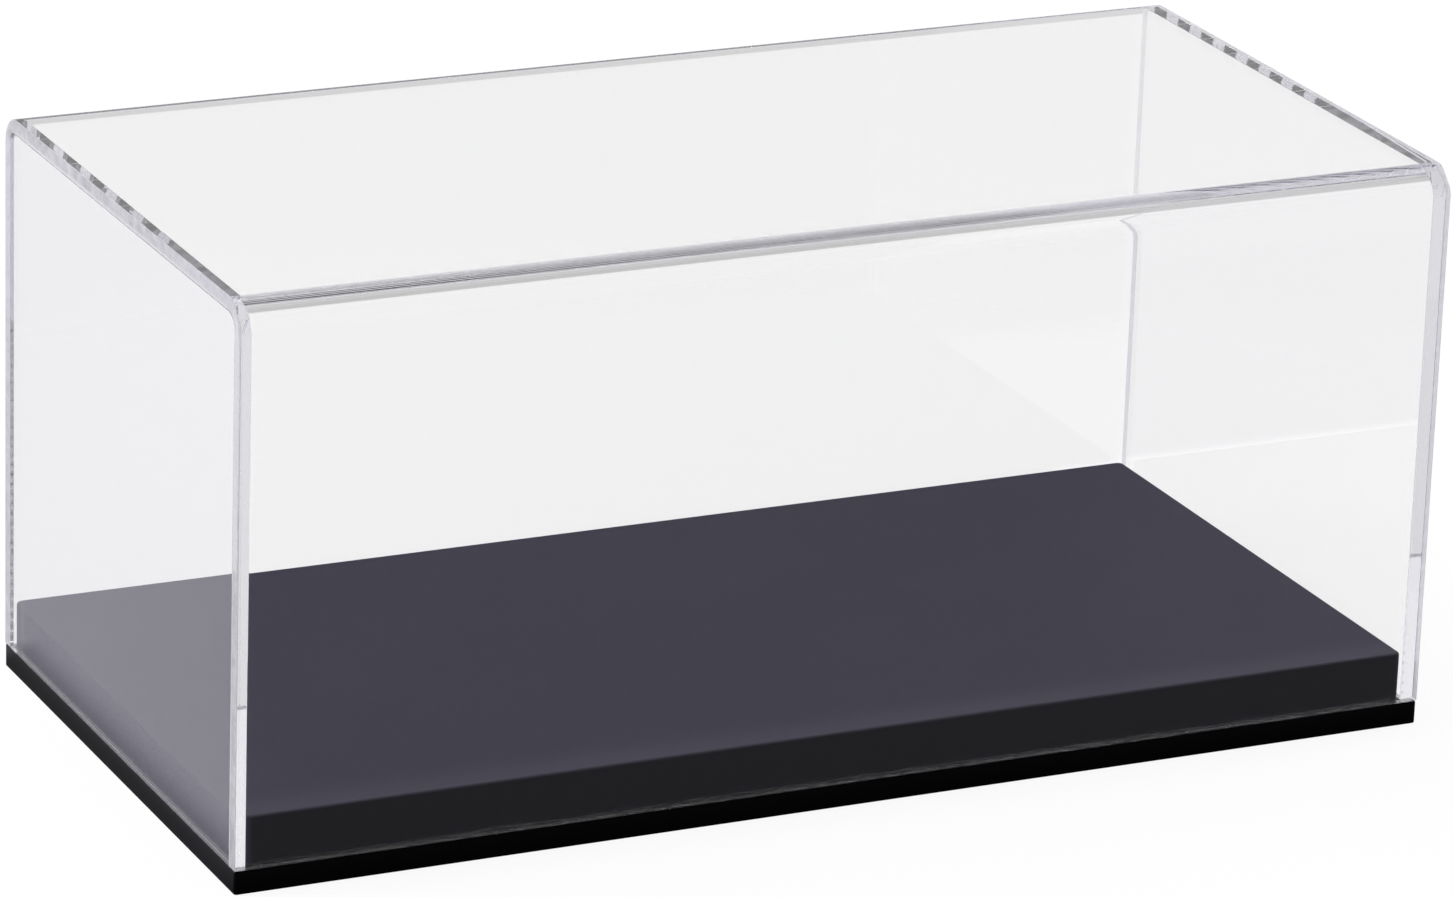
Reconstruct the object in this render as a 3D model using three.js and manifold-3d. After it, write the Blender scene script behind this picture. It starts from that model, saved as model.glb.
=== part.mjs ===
// A display case: a clear cover that lifts off a stepped black base. Nothing fastens it there.
// Lengths are in millimetres. +X runs along the case, +Y to its back and +Z up. The origin is the
// middle of the underside.
import * as THREE from "three";
import { mergeVertices } from "three/addons/utils/BufferGeometryUtils.js";
import Module from "manifold-3d";

const wasm = await Module();
wasm.setup();

// Case, over its outer faces
const caseLength = 240;
const caseWidth = 120;
const caseHeight = 110;

// Clear sheet that the cover is made of, drawn a little thinner where it is bent, and the film of
// cement between its pieces
const sheetThickness = 2.7;
const bendOuterRadius = 5.8;
const bendInnerRadius = 2.1;
const cementFilm = 0.05;

// Base plate, as long and as wide as the cover that stands on its rim
const plateThickness = 4.5;
const plateEdgeEase = 0.3;
const plateTopCornerRadius = 0.3;

// Plinth that fills the mouth of the cover and keeps it in its place
const plinthHeight = 9.5;
const plinthClearance = 0.15;
const plinthEdgeEase = 1;
const plinthTopCornerRadius = 0.4;

// How far a cutting solid runs past what it cuts
const overrun = 5;

// Steps of each round: an arc in an outline gets two flats a step, and an eased edge gets one
const bendSteps = 10;
const cornerSteps = 4;
const plateEaseSteps = 1;
const plinthEaseSteps = 4;

// Sizes that follow from the ones above
const coverHeight = caseHeight - plateThickness;
const plinthLength = caseLength - 2 * (sheetThickness + plinthClearance);
const plinthWidth = caseWidth - 2 * (sheetThickness + plinthClearance);

const clearAcrylic = new THREE.MeshStandardMaterial({
  color: 0xf2f2f6,
  roughness: 0.03,
  metalness: 0,
  transparent: true,
  opacity: 0.25,
});
const blackGloss = new THREE.MeshStandardMaterial({
  color: 0x070709,
  roughness: 0.2,
  metalness: 0,
});
const blackSatin = new THREE.MeshStandardMaterial({
  color: 0x1c1b20,
  roughness: 0.45,
  metalness: 0,
});

const quarterTurn = Math.PI / 2;

// Outline of a slab seen from above: a rectangle about the origin with rounded corners.
function roundedRectangle(length, width, radius) {
  const right = length / 2 - radius;
  const back = width / 2 - radius;
  const outline = new THREE.Shape();
  outline.absarc(right, back, radius, 0, quarterTurn);
  outline.absarc(-right, back, radius, quarterTurn, 2 * quarterTurn);
  outline.absarc(-right, -back, radius, 2 * quarterTurn, 3 * quarterTurn);
  outline.absarc(right, -back, radius, 3 * quarterTurn, 4 * quarterTurn);
  outline.closePath();
  return outline;
}

// Slab that stands on z = 0, with its upper and lower edges eased alike. Its upright corners are
// rounder than its edges by the radius that is left at the corners of its top.
function easedSlab(length, width, height, ease, topCornerRadius, easeSteps) {
  const outline = roundedRectangle(length, width, ease + topCornerRadius);
  const slab = new THREE.ExtrudeGeometry(outline, {
    depth: height - 2 * ease,
    curveSegments: cornerSteps,
    bevelThickness: ease,
    bevelSize: ease,
    bevelOffset: -ease,
    bevelSegments: easeSteps,
  });
  return slab.translate(0, 0, ease);
}

// Closed solid of a geometry, ready to be cut.
function solidOf(geometry) {
  const bare = geometry.clone();
  bare.deleteAttribute("normal");
  bare.deleteAttribute("uv");
  const merged = mergeVertices(bare);
  const mesh = new wasm.Mesh({
    numProp: 3,
    vertProperties: merged.getAttribute("position").array,
    triVerts: new Uint32Array(merged.index.array),
  });
  return new wasm.Manifold(mesh);
}

// Geometry of a solid that has been cut.
function geometryOf(solid) {
  const mesh = solid.getMesh();
  const geometry = new THREE.BufferGeometry();
  geometry.setAttribute("position", new THREE.BufferAttribute(mesh.vertProperties, 3));
  geometry.setIndex(new THREE.BufferAttribute(mesh.triVerts, 1));
  geometry.computeVertexNormals();
  return geometry;
}

// Points of an arch drawn as (y, z) from the rim of the cover at z = 0: two straight legs and a
// straight top, joined by round corners.
function archPoints(width, height, radius) {
  const side = width / 2;
  const arch = new THREE.Path();
  arch.moveTo(side, 0);
  arch.lineTo(side, height - radius);
  arch.absarc(side - radius, height - radius, radius, 0, quarterTurn);
  arch.lineTo(radius - side, height);
  arch.absarc(radius - side, height - radius, radius, quarterTurn, 2 * quarterTurn);
  arch.lineTo(-side, 0);
  return arch.getPoints(bendSteps);
}

// A section drawn as (y, z), pushed along +X by the given depth.
function alongCase(points, depth) {
  const section = new THREE.Shape(points);
  const geometry = new THREE.ExtrudeGeometry(section, { depth, bevelEnabled: false });
  const turn = new THREE.Matrix4().makeBasis(
    new THREE.Vector3(0, 1, 0),
    new THREE.Vector3(0, 0, 1),
    new THREE.Vector3(1, 0, 0),
  );
  return geometry.applyMatrix4(turn);
}

// Front wall, top and back wall: one sheet, bent hot along the two long top edges of the case.
function bentSheet() {
  const outside = archPoints(caseWidth, coverHeight, bendOuterRadius);
  const inside = archPoints(
    caseWidth - 2 * sheetThickness,
    coverHeight - sheetThickness,
    bendInnerRadius,
  );
  const section = [...outside, ...inside.reverse()];
  const sheet = new THREE.Mesh(alongCase(section, caseLength), clearAcrylic);
  sheet.name = "bent_cover_sheet";
  sheet.position.x = -caseLength / 2;
  return sheet;
}

// Flat end panel, cut to the inside of the bent sheet and cemented there flush with its end.
function endPanel(name, lowFace) {
  const section = archPoints(
    caseWidth - 2 * (sheetThickness + cementFilm),
    coverHeight - sheetThickness - cementFilm,
    bendInnerRadius - cementFilm,
  );
  const panel = new THREE.Mesh(alongCase(section, sheetThickness), clearAcrylic);
  panel.name = name;
  panel.position.x = lowFace;
  return panel;
}

// Plate whose rim, left free by the plinth, is the ledge that the cover stands on.
function basePlate() {
  const slab = easedSlab(
    caseLength,
    caseWidth,
    plateThickness,
    plateEdgeEase,
    plateTopCornerRadius,
    plateEaseSteps,
  );
  const plate = new THREE.Mesh(slab, blackGloss);
  plate.name = "base_plate";
  return plate;
}

// Raised floor of the case: its top edges are eased and its underside is cut square.
function plinthBlock() {
  const slab = easedSlab(
    plinthLength,
    plinthWidth,
    plinthHeight + overrun,
    plinthEdgeEase,
    plinthTopCornerRadius,
    plinthEaseSteps,
  );
  slab.translate(0, 0, -overrun);
  const waste = new THREE.BoxGeometry(
    plinthLength + 2 * overrun,
    plinthWidth + 2 * overrun,
    2 * overrun,
  );
  waste.translate(0, 0, -overrun);
  const block = solidOf(slab).subtract(solidOf(waste));
  const plinth = new THREE.Mesh(geometryOf(block), blackSatin);
  plinth.name = "plinth";
  plinth.position.z = plateThickness;
  return plinth;
}

const cover = new THREE.Group();
cover.name = "cover";
cover.position.z = plateThickness;
cover.add(bentSheet());
cover.add(endPanel("left_end_panel", -caseLength / 2));
cover.add(endPanel("right_end_panel", caseLength / 2 - sheetThickness));

const base = new THREE.Group();
base.name = "base";
base.add(basePlate());
base.add(plinthBlock());

const displayCase = new THREE.Group();
displayCase.add(cover);
displayCase.add(base);

export default displayCase;
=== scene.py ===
"""Looks of the display case: a clear bent acrylic cover on a stepped black base."""
import math

import bmesh
import bpy
from mathutils import Matrix, Vector


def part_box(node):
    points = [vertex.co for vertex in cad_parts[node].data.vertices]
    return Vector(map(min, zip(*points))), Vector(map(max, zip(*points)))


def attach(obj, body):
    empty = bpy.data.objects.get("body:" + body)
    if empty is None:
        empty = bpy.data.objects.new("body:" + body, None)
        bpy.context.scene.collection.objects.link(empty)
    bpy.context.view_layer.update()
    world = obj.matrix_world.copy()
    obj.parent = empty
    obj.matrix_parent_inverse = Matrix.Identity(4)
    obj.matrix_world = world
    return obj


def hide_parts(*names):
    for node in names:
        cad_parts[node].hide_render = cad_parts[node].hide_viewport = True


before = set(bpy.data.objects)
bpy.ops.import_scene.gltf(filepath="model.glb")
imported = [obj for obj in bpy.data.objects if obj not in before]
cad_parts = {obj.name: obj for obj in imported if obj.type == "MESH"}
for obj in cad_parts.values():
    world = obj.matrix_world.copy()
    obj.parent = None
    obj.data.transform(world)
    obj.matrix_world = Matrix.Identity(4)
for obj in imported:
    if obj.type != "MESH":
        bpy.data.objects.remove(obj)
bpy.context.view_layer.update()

MM = 0.001

# Places and sizes read from the frame
SHEET_LOW, SHEET_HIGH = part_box("bent_cover_sheet")
PANEL_LOW, PANEL_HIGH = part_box("left_end_panel")
PLATE_LOW, PLATE_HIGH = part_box("base_plate")
PLINTH_LOW, PLINTH_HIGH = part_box("plinth")
SHEET_THICKNESS = PANEL_HIGH.x - PANEL_LOW.x
CEMENT_FILM = PANEL_LOW.y - SHEET_LOW.y - SHEET_THICKNESS

# Cover. The back bend is round. The front one, outside, eases in, turns, runs flat over its middle
# and turns again: each step is a turn in degrees, the radius that it is made on and its facets.
BACK_OUTER_RADIUS = 5.8 * MM
BACK_INNER_RADIUS = 2.1 * MM
FRONT_DEPTH = 6.0 * MM
FRONT_TURNS = ((1.0, 38.6 * MM, 3), (44.0, 3.5 * MM, 16))
FRONT_INNER_RADIUS = 3.3 * MM
RIM_GAP = 0.05 * MM
SHEET_EDGE_BREAK = 0.12 * MM
PANEL_EDGE_BREAK = 0.08 * MM

# Base
PLATE_EDGE_ROUND = 0.27 * MM
PLATE_CORNER_ROUND = 0.6 * MM
PLINTH_EDGE_ROUND = 0.6 * MM
PLINTH_CORNER_ROUND = 1.4 * MM

# Share of sight that passes straight through where the rim lies on the plate
RIM_WETTING = 0.6

# Bounces allowed to light that runs along inside the sheet
GUIDED_BOUNCES = 160

# Soft lamps: name, place, side in metres and power in watts
LAMPS = (
    ("top_softbox", (-0.3, 0.5, 1.5), 1.4, 17.0),
    ("left_softbox", (-1.3, 0.3, 0.45), 0.8, 19.5),
    ("right_softbox", (1.3, 0.3, 0.45), 0.8, 8.0),
)
LAMP_TARGET = (0.0, 0.0, 0.05)

# Studio
FLOOR_HALF_SIZE = 6.0
WHITE = (1.0, 1.0, 1.0, 1.0)

# Camera, as fitted to the photograph
CAMERA_PLACE = Vector((-0.56698, -1.19296, 0.51695))
CAMERA_YAW = math.radians(25.496)
CAMERA_PITCH = math.radians(19.486)
CAMERA_ROLL = math.radians(1.975)
CAMERA_LENS = 184.74


class Nodes:
    """A short way to write a node tree."""

    def __init__(self, tree):
        self.tree = tree
        tree.nodes.clear()

    def add(self, kind, settings=None, **inputs):
        node = self.tree.nodes.new(kind)
        for name, value in (settings or {}).items():
            setattr(node, name, value)
        for name, value in inputs.items():
            self.feed(node, name.replace("_", " "), value)
        return node

    def feed(self, node, name, value):
        socket = node.inputs[int(name)] if name.isdigit() else node.inputs[name]
        if isinstance(value, bpy.types.NodeSocket):
            self.tree.links.new(value, socket)
        else:
            socket.default_value = value

    def math(self, operation, a, b=0.0):
        node = self.add("ShaderNodeMath", {"operation": operation})
        self.feed(node, "0", a)
        self.feed(node, "1", b)
        return node.outputs[0]

    def ramp(self, value, low, high, to_low=0.0, to_high=1.0):
        node = self.add("ShaderNodeMapRange", {"interpolation_type": "SMOOTHSTEP"})
        for name, amount in zip(("Value", "From Min", "From Max", "To Min", "To Max"),
                                (value, low, high, to_low, to_high)):
            self.feed(node, name, amount)
        return node.outputs["Result"]

    def noise(self, vector, scale, detail=2.0, roughness=0.5):
        node = self.add("ShaderNodeTexNoise", None, Scale=scale, Detail=detail, Roughness=roughness)
        self.feed(node, "Vector", vector)
        return node.outputs["Fac"]

    def stretched(self, vector, scale):
        node = self.add("ShaderNodeVectorMath", {"operation": "MULTIPLY"})
        self.feed(node, "0", vector)
        self.feed(node, "1", scale)
        return node.outputs[0]

    def split(self, vector):
        node = self.add("ShaderNodeSeparateXYZ")
        self.feed(node, "0", vector)
        return node.outputs

    def mix_value(self, share, first, second):
        node = self.add("ShaderNodeMix", {"data_type": "FLOAT"})
        for name, value in zip(("0", "2", "3"), (share, first, second)):
            self.feed(node, name, value)
        return node.outputs[0]

    def mix_colour(self, share, first, second):
        node = self.add("ShaderNodeMix", {"data_type": "RGBA"})
        for name, value in zip(("0", "6", "7"), (share, first, second)):
            self.feed(node, name, value)
        return node.outputs[2]

    def mix_shader(self, share, first, second):
        node = self.add("ShaderNodeMixShader")
        self.feed(node, "0", share)
        self.feed(node, "1", first)
        self.feed(node, "2", second)
        return node.outputs[0]


def new_material(name):
    material = bpy.data.materials.new(name)
    material.use_nodes = True
    return material, Nodes(material.node_tree)


def clear_acrylic():
    """Cast sheet with polished faces. Its cemented faces let sight through unbent."""
    material, nodes = new_material("clear_acrylic")
    place = nodes.add("ShaderNodeTexCoord").outputs["Object"]
    cemented = nodes.add("ShaderNodeAttribute", {"attribute_name": "cemented"}).outputs["Fac"]
    cut = nodes.add("ShaderNodeAttribute", {"attribute_name": "cut_edge"}).outputs["Fac"]
    bent = nodes.add("ShaderNodeAttribute", {"attribute_name": "bent"}).outputs["Fac"]

    saw_marks = nodes.noise(nodes.stretched(place, (900.0, 260.0, 260.0)), 1.0, 3.0, 0.6)
    draw_lines = nodes.noise(nodes.stretched(place, (14.0, 700.0, 700.0)), 1.0, 2.0, 0.5)
    relief = nodes.math("ADD", nodes.math("MULTIPLY", saw_marks, cut),
                        nodes.math("MULTIPLY", draw_lines, bent))
    bump = nodes.add("ShaderNodeBump", None, Strength=0.3, Distance=0.02 * MM, Height=relief)

    rough = nodes.ramp(cut, 0.0, 1.0, 0.0, 0.12)
    glass = nodes.add("ShaderNodeBsdfPrincipled", None, Base_Color=WHITE,
                      Roughness=rough, IOR=1.49, Transmission_Weight=1.0,
                      Normal=bump.outputs[0])
    outwards = nodes.add("ShaderNodeBsdfDiffuse", None, Color=(0.86, 0.85, 0.9, 1.0))
    inwards = nodes.add("ShaderNodeBsdfTranslucent", None, Color=(0.6, 0.59, 0.64, 1.0))
    sawn = nodes.mix_shader(0.5, outwards.outputs[0], inwards.outputs[0])
    milky = nodes.math("MULTIPLY", cut, nodes.ramp(saw_marks, 0.3, 0.75, 0.62, 0.9))
    faced = nodes.mix_shader(milky, glass.outputs[0], sawn)
    joined = nodes.add("ShaderNodeBsdfTransparent")
    sight = nodes.mix_shader(cemented, faced, joined.outputs[0])
    light = nodes.add("ShaderNodeBsdfTransparent", None, Color=(0.96, 0.96, 0.965, 1.0))
    is_shadow = nodes.add("ShaderNodeLightPath").outputs["Is Shadow Ray"]
    surface = nodes.mix_shader(is_shadow, sight, light.outputs[0])
    body = nodes.add("ShaderNodeVolumeAbsorption", None, Color=(0.68, 0.66, 0.75, 1.0),
                     Density=4.0)
    nodes.add("ShaderNodeOutputMaterial", None, Surface=surface, Volume=body.outputs[0])
    return material


def black_gloss():
    """Polished black sheet: a faint ripple, and fine wipe marks in its gloss."""
    material, nodes = new_material("black_gloss_acrylic")
    place = nodes.add("ShaderNodeTexCoord").outputs["Object"]
    ripple = nodes.noise(place, 90.0, 1.0)
    wiped = nodes.noise(nodes.stretched(place, (60.0, 400.0, 400.0)), 1.0, 4.0, 0.6)
    bump = nodes.add("ShaderNodeBump", None, Strength=0.15, Distance=0.02 * MM, Height=ripple)
    gloss = nodes.add("ShaderNodeBsdfPrincipled", None, Base_Color=(0.0012, 0.0012, 0.0016, 1.0),
                      Roughness=nodes.ramp(wiped, 0.3, 0.8, 0.06, 0.16),
                      Specular_IOR_Level=0.12, Normal=bump.outputs[0])
    nodes.add("ShaderNodeOutputMaterial", None, Surface=gloss.outputs[0])
    return material


def black_satin():
    """Matt black board with a fine grain that breaks up its shine, and painted shade on its sides,
    which get a darker, bluer colour than its top.
    """
    material, nodes = new_material("black_satin_acrylic")
    place = nodes.add("ShaderNodeTexCoord").outputs["Object"]
    grain = nodes.noise(place, 2600.0, 3.0, 0.6)
    cloud = nodes.noise(place, 35.0, 3.0, 0.5)
    top = nodes.mix_colour(cloud, (0.058, 0.054, 0.079, 1.0), (0.066, 0.062, 0.089, 1.0))
    # Painted shade: faces that do not face up get a darker, bluer colour than the top.
    faces_up = nodes.split(nodes.add("ShaderNodeTexCoord").outputs["Normal"])["Z"]
    painted_side_shade_colour = nodes.mix_colour(nodes.ramp(faces_up, 0.3, 0.9), (0.018, 0.018, 0.042, 1.0), top)
    bump = nodes.add("ShaderNodeBump", None, Strength=0.1, Distance=0.02 * MM, Height=grain)
    board = nodes.add("ShaderNodeBsdfPrincipled", None, Base_Color=painted_side_shade_colour,
                      Roughness=nodes.ramp(grain, 0.3, 0.7, 0.6, 0.7),
                      Specular_IOR_Level=0.08, Normal=bump.outputs[0])
    nodes.add("ShaderNodeOutputMaterial", None, Surface=board.outputs[0])
    return material


def front_corner():
    """Points of the front bend's outer face, as distances inwards and down from a sharp corner."""
    inwards, down, heading = 0.0, FRONT_DEPTH, 0.0
    half = [(inwards, down)]
    for degrees, radius, facets in FRONT_TURNS:
        turn = math.radians(degrees) / facets
        for _ in range(facets):
            length = 2 * radius * math.sin(turn / 2)
            inwards += length * math.sin(heading + turn / 2)
            down -= length * math.cos(heading + turn / 2)
            heading += turn
            half.append((inwards, down))
    middle = (inwards + down) / 2
    return half + [(middle, middle)] + [(a, b) for b, a in reversed(half)]


def round_corner(radius):
    """The same for a round corner, in as many points."""
    last = len(front_corner()) - 1
    angles = [math.pi / 2 * i / last for i in range(last + 1)]
    return [(radius * (1 - math.cos(a)), radius * (1 - math.sin(a))) for a in angles]


def arch(half_width, top, back, front, rim):
    """Points (y, z) of the cover's section, from the back rim over to the front one."""
    path = [(half_width, rim)]
    path += [(half_width - inwards, top - down) for inwards, down in back]
    path += [(inwards - half_width, top - down) for inwards, down in reversed(front)]
    return path + [(-half_width, rim)]


def inner_arch(film, rim):
    """The cover's inside, less a film of cement all round."""
    inset = SHEET_THICKNESS + film
    return arch(SHEET_HIGH.y - inset, SHEET_HIGH.z - inset, round_corner(BACK_INNER_RADIUS - film),
                round_corner(FRONT_INNER_RADIUS - film), rim)


def piece_from(name, body_mesh, edge_break, body, material, nodes_replaced, segments=2):
    """A piece whose sharp edges are broken, riding on a CAD body in place of its CAD nodes."""
    mesh = bpy.data.meshes.new(name)
    bmesh.ops.recalc_face_normals(body_mesh, faces=body_mesh.faces)
    for face in body_mesh.faces:
        face.smooth = True
    body_mesh.to_mesh(mesh)
    body_mesh.free()
    piece = bpy.data.objects.new(name, mesh)
    bpy.context.scene.collection.objects.link(piece)
    rounding = piece.modifiers.new("edge_break", "BEVEL")
    rounding.width = edge_break
    rounding.segments = segments
    rounding.limit_method = "ANGLE"
    rounding.angle_limit = math.radians(40)
    shading = piece.modifiers.new("flat_faces", "WEIGHTED_NORMAL")
    shading.weight = 100
    shading.keep_sharp = False
    view_layer = bpy.context.evaluated_depsgraph_get()
    final = bpy.data.meshes.new_from_object(piece.evaluated_get(view_layer))
    piece.modifiers.clear()
    piece.data = final
    final.name = name
    bpy.data.meshes.remove(mesh)
    final.materials.clear()
    final.materials.append(material)
    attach(piece, body)
    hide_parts(*nodes_replaced)
    return piece


def face_values(piece, name, share):
    """A face attribute worked out by share(centre, normal), which is 0 to 1, or false or true."""
    attribute = piece.data.attributes.new(name, "FLOAT", "FACE")
    values = [float(share(face.center, face.normal)) for face in piece.data.polygons]
    attribute.data.foreach_set("value", values)


def bent_sheet(material):
    rim = SHEET_LOW.z + RIM_GAP
    outer = arch(SHEET_HIGH.y, SHEET_HIGH.z, round_corner(BACK_OUTER_RADIUS), front_corner(), rim)
    inner = inner_arch(0.0, rim)
    stations = (SHEET_LOW.x, SHEET_LOW.x + SHEET_THICKNESS,
                SHEET_HIGH.x - SHEET_THICKNESS, SHEET_HIGH.x)
    work = bmesh.new()
    rows = []
    for x in stations:
        rows.append([[work.verts.new((x, y, z)) for y, z in path] for path in (outer, inner)])
    last = len(outer) - 1
    for (outer_a, inner_a), (outer_b, inner_b) in zip(rows, rows[1:]):
        for i in range(last):
            work.faces.new((outer_a[i], outer_a[i + 1], outer_b[i + 1], outer_b[i]))
            work.faces.new((inner_a[i], inner_b[i], inner_b[i + 1], inner_a[i + 1]))
        for i in (0, last):
            work.faces.new((outer_a[i], outer_b[i], inner_b[i], inner_a[i]))
    for outer_row, inner_row in (rows[0], rows[-1]):
        for i in range(last):
            work.faces.new((outer_row[i], inner_row[i], inner_row[i + 1], outer_row[i + 1]))
    piece = piece_from("bent_sheet", work, SHEET_EDGE_BREAK, "cover", material,
                       ["bent_cover_sheet"])
    end = SHEET_HIGH.x - SHEET_THICKNESS
    straight = SHEET_HIGH.z - FRONT_DEPTH

    def faces_inwards(centre, normal):
        return normal.y * centre.y < 0 or normal.z < -0.05

    def seen_through(centre, normal):
        if centre.z < rim + SHEET_EDGE_BREAK:
            return RIM_WETTING
        return (abs(centre.x) > end and abs(normal.x) < 0.1
                and centre.z > rim + SHEET_THICKNESS and faces_inwards(centre, normal))

    face_values(piece, "cemented", seen_through)
    face_values(piece, "cut_edge", lambda c, n: abs(n.x) > 0.1)
    face_values(piece, "bent", lambda c, n: abs(n.y) > 0.02 and abs(n.z) > 0.02 and c.z > straight
                and abs(n.x) < 0.1)


def end_panel(name, node, material):
    low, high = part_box(node)
    rim = low.z + RIM_GAP
    path = inner_arch(CEMENT_FILM, rim)
    work = bmesh.new()
    near, far = ([work.verts.new((x, y, z)) for y, z in path] for x in (low.x, high.x))
    work.faces.new(near)
    work.faces.new(far)
    for i in range(len(path)):
        j = (i + 1) % len(path)
        work.faces.new((near[i], near[j], far[j], far[i]))
    piece = piece_from(name, work, PANEL_EDGE_BREAK, "cover", material, [node])
    face_values(piece, "cemented", lambda c, n: abs(n.x) < 0.1 and c.z > rim + PANEL_EDGE_BREAK)
    face_values(piece, "cut_edge", lambda c, n: False)
    face_values(piece, "bent", lambda c, n: False)


def rounded_block(low, high, corner, corner_facets=6):
    """An upright block with rounded corners, its edges still sharp."""
    work = bmesh.new()
    points = []
    for quarter, (sx, sy) in enumerate(((1, 1), (-1, 1), (-1, -1), (1, -1))):
        centre_x = (high.x if sx > 0 else low.x) - sx * corner
        centre_y = (high.y if sy > 0 else low.y) - sy * corner
        for step in range(corner_facets + 1):
            angle = math.radians(90 * (quarter + step / corner_facets))
            points.append((centre_x + corner * math.cos(angle), centre_y + corner * math.sin(angle)))
    bottom, top = ([work.verts.new((x, y, z)) for x, y in points] for z in (low.z, high.z))
    work.faces.new(bottom)
    work.faces.new(top)
    for i in range(len(points)):
        j = (i + 1) % len(points)
        work.faces.new((bottom[i], bottom[j], top[j], top[i]))
    return work


def base_plate(material):
    work = rounded_block(PLATE_LOW, PLATE_HIGH, PLATE_CORNER_ROUND)
    piece_from("rim_plate", work, PLATE_EDGE_ROUND, "base", material,
               ["base_plate"], 3)


def plinth(material):
    work = rounded_block(PLINTH_LOW, PLINTH_HIGH, PLINTH_CORNER_ROUND)
    piece_from("raised_plinth", work, PLINTH_EDGE_ROUND, "base", material,
               ["plinth"], 4)


def studio_world():
    """White where the camera looks straight at it. In mirrors it is dark towards the front, and
    behind glass it is grey above a line that lies a little below the horizon."""
    world = bpy.data.worlds.new("studio")
    bpy.context.scene.world = world
    world.use_nodes = True
    nodes = Nodes(world.node_tree)
    towards = nodes.split(nodes.add("ShaderNodeTexCoord").outputs["Generated"])
    back, up = towards["Y"], towards["Z"]
    level = by_path(nodes, seen=1.0, through_glass=nodes.ramp(up, -0.275, -0.225, 1.02, 0.64),
                    guided=1.0, turned=nodes.ramp(back, 0.0, 0.6, 0.04, 0.64),
                    mirrored=nodes.ramp(back, 0.0, 0.7, 0.04, 0.85), lit=0.32)
    background = nodes.add("ShaderNodeBackground", None, Color=WHITE, Strength=level)
    nodes.add("ShaderNodeOutputWorld", None, Surface=background.outputs[0])


def by_path(nodes, seen, through_glass, guided, turned, mirrored, lit):
    """One of six levels, by the kind of sight line or light path that asks. Through glass, a sight
    line counts as turned when it was mirrored in there once, and as guided when more often."""
    path = nodes.add("ShaderNodeLightPath")
    inside = path.outputs["Is Transmission Ray"]
    just_once = nodes.math("COMPARE", path.outputs["Glossy Depth"], 1.0)
    more_than_once = nodes.math("GREATER_THAN", path.outputs["Glossy Depth"], 1.5)
    outside = nodes.math("MULTIPLY", path.outputs["Is Glossy Ray"],
                         nodes.math("SUBTRACT", 1.0, inside))
    scattered = nodes.math("MINIMUM", path.outputs["Diffuse Depth"], 1.0)
    level = lit
    for kind, value in ((inside, through_glass), (more_than_once, guided),
                        (nodes.math("MULTIPLY", inside, just_once), turned),
                        (outside, mirrored), (scattered, lit),
                        (path.outputs["Is Camera Ray"], seen)):
        level = nodes.mix_value(kind, level, value)
    return level


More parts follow.
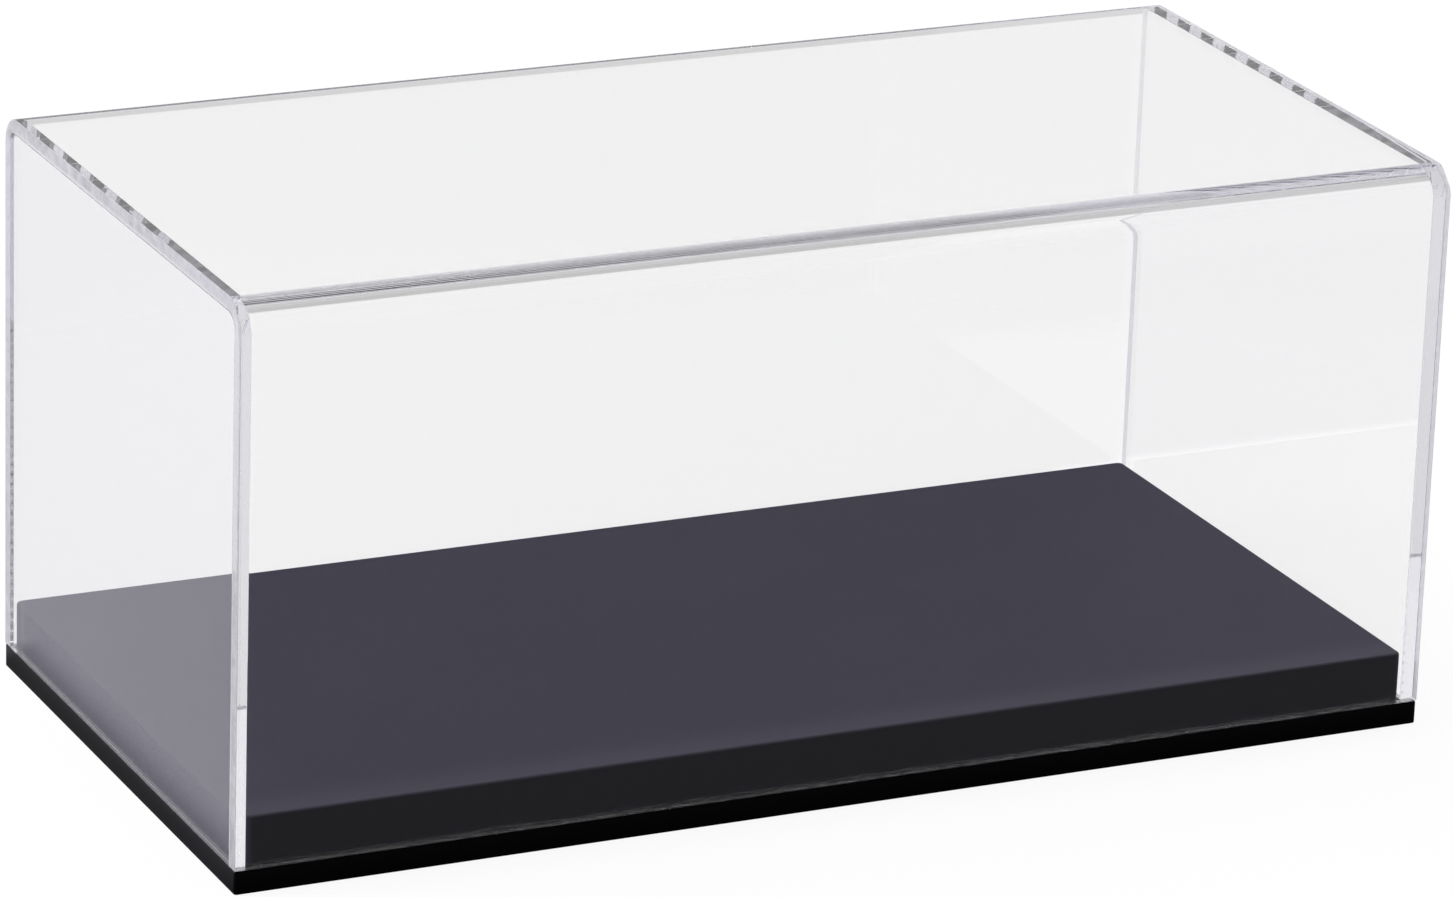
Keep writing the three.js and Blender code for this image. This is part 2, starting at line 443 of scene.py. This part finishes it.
def studio_floor():
    """Pale, with the case's shadow on it. Mirrors see it dark in front of the case, with a painted
    reflection that lightens in two steps towards the case, a painted bluish tint and painted shade
    close beside it. Glass sees painted light on it just right of the case, and past its near part
    the world in its place."""
    size = FLOOR_HALF_SIZE
    mesh = bpy.data.meshes.new("floor")
    mesh.from_pydata([(-size, -size, 0), (size, -size, 0), (size, size, 0), (-size, size, 0)], [],
                     [(0, 1, 2, 3)])
    floor = bpy.data.objects.new("floor", mesh)
    bpy.context.scene.collection.objects.link(floor)
    material, nodes = new_material("pale_floor")
    place = nodes.add("ShaderNodeTexCoord").outputs["Object"]
    across = nodes.split(place)
    x, y = across["X"], across["Y"]
    length = nodes.add("ShaderNodeVectorMath", {"operation": "LENGTH"})
    nodes.feed(length, "0", place)
    away = length.outputs["Value"]
    beside = nodes.math("MAXIMUM",
                        nodes.math("SUBTRACT", nodes.math("ABSOLUTE", x), PLATE_HIGH.x),
                        nodes.math("SUBTRACT", nodes.math("ABSOLUTE", y), PLATE_HIGH.y))
    # Painted reflection: mirrors see the floor dark in front of the case and lighter in two steps
    # nearer it, and painted shade close beside the case.
    painted_reflection_bands = nodes.math("ADD", nodes.ramp(y, -0.102, -0.093, 0.0, 0.19),
                      nodes.ramp(y, -0.07, -0.045, 0.0, 0.53))
    mirrored = nodes.math("MULTIPLY", painted_reflection_bands, nodes.ramp(beside, 0.001, 0.0125, 0.25, 0.93))
    # Painted light: seen through glass, the floor just right of the case glows brighter than
    # elsewhere.
    painted_light_right_of_case = nodes.math("MULTIPLY", nodes.ramp(x, 0.118, 0.122),
                              nodes.ramp(y, 0.088, 0.098, 1.0, 0.0))
    level = by_path(nodes, seen=nodes.ramp(away, 0.8, 2.5, 0.91, 1.0),
                    through_glass=nodes.ramp(painted_light_right_of_case, 0.0, 1.0, 0.93, 1.08),
                    guided=0.78, turned=mirrored, mirrored=mirrored, lit=0.0)
    shade = by_path(nodes, seen=0.085, through_glass=0.085, guided=0.085, turned=0.0,
                    mirrored=0.0, lit=0.085)
    paint = nodes.add("ShaderNodeBsdfDiffuse", None, Color=shade)
    in_mirror = by_path(nodes, seen=0.0, through_glass=0.0, guided=0.0, turned=1.0, mirrored=1.0,
                        lit=0.0)
    # Painted reflection colour: mirrors see the floor's glow with a bluish tint.
    glow = nodes.add("ShaderNodeEmission", None, Strength=level,
                     Color=nodes.mix_colour(in_mirror, WHITE, (1.0, 0.98, 1.08, 1.0)))
    both = nodes.add("ShaderNodeAddShader")
    nodes.feed(both, "0", paint.outputs[0])
    nodes.feed(both, "1", glow.outputs[0])
    past_end = by_path(nodes, seen=0.0, through_glass=nodes.ramp(away, 0.22, 0.32), guided=0.0,
                       turned=0.0, mirrored=0.0, lit=0.0)
    ended = nodes.add("ShaderNodeBsdfTransparent")
    surface = nodes.mix_shader(past_end, both.outputs[0], ended.outputs[0])
    nodes.add("ShaderNodeOutputMaterial", None, Surface=surface)
    mesh.materials.append(material)


def soft_lamp(name, place, size, power):
    """A square lamp aimed at the case, which neither the camera nor sight through glass meets."""
    lamp = bpy.data.lights.new(name, "AREA")
    lamp.shape = "SQUARE"
    lamp.size = size
    lamp.energy = power
    holder = bpy.data.objects.new(name, lamp)
    holder.location = place
    aim = Vector(LAMP_TARGET) - Vector(place)
    holder.rotation_euler = aim.to_track_quat("-Z", "Y").to_euler()
    bpy.context.scene.collection.objects.link(holder)
    holder.visible_camera = False
    holder.visible_transmission = False


def photo_camera():
    camera = bpy.data.cameras.new("camera")
    camera.lens = CAMERA_LENS
    camera.sensor_width = 36.0
    camera.clip_end = 30.0
    holder = bpy.data.objects.new("camera", camera)
    bpy.context.scene.collection.objects.link(holder)
    ahead = Vector((math.sin(CAMERA_YAW) * math.cos(CAMERA_PITCH),
                    math.cos(CAMERA_YAW) * math.cos(CAMERA_PITCH), -math.sin(CAMERA_PITCH)))
    right = Vector((math.cos(CAMERA_YAW), -math.sin(CAMERA_YAW), 0.0))
    turn = Matrix((right, right.cross(ahead), -ahead)).transposed().to_4x4()
    roll = Matrix.Rotation(CAMERA_ROLL, 4, "Z")
    holder.matrix_world = Matrix.Translation(CAMERA_PLACE) @ turn @ roll
    bpy.context.scene.camera = holder


def light_paths():
    """Enough bounces for light that runs along inside the sheet."""
    settings = bpy.context.scene.cycles
    settings.max_bounces = GUIDED_BOUNCES
    settings.transmission_bounces = GUIDED_BOUNCES
    settings.glossy_bounces = GUIDED_BOUNCES
    settings.diffuse_bounces = 3
    settings.transparent_max_bounces = 32
    settings.caustics_refractive = False
    settings.caustics_reflective = False
    bpy.context.scene.view_settings.view_transform = "Standard"


acrylic = clear_acrylic()
bent_sheet(acrylic)
end_panel("end_panel_left", "left_end_panel", acrylic)
end_panel("end_panel_right", "right_end_panel", acrylic)
base_plate(black_gloss())
plinth(black_satin())
studio_world()
studio_floor()
for lamp_row in LAMPS:
    soft_lamp(*lamp_row)
photo_camera()
light_paths()
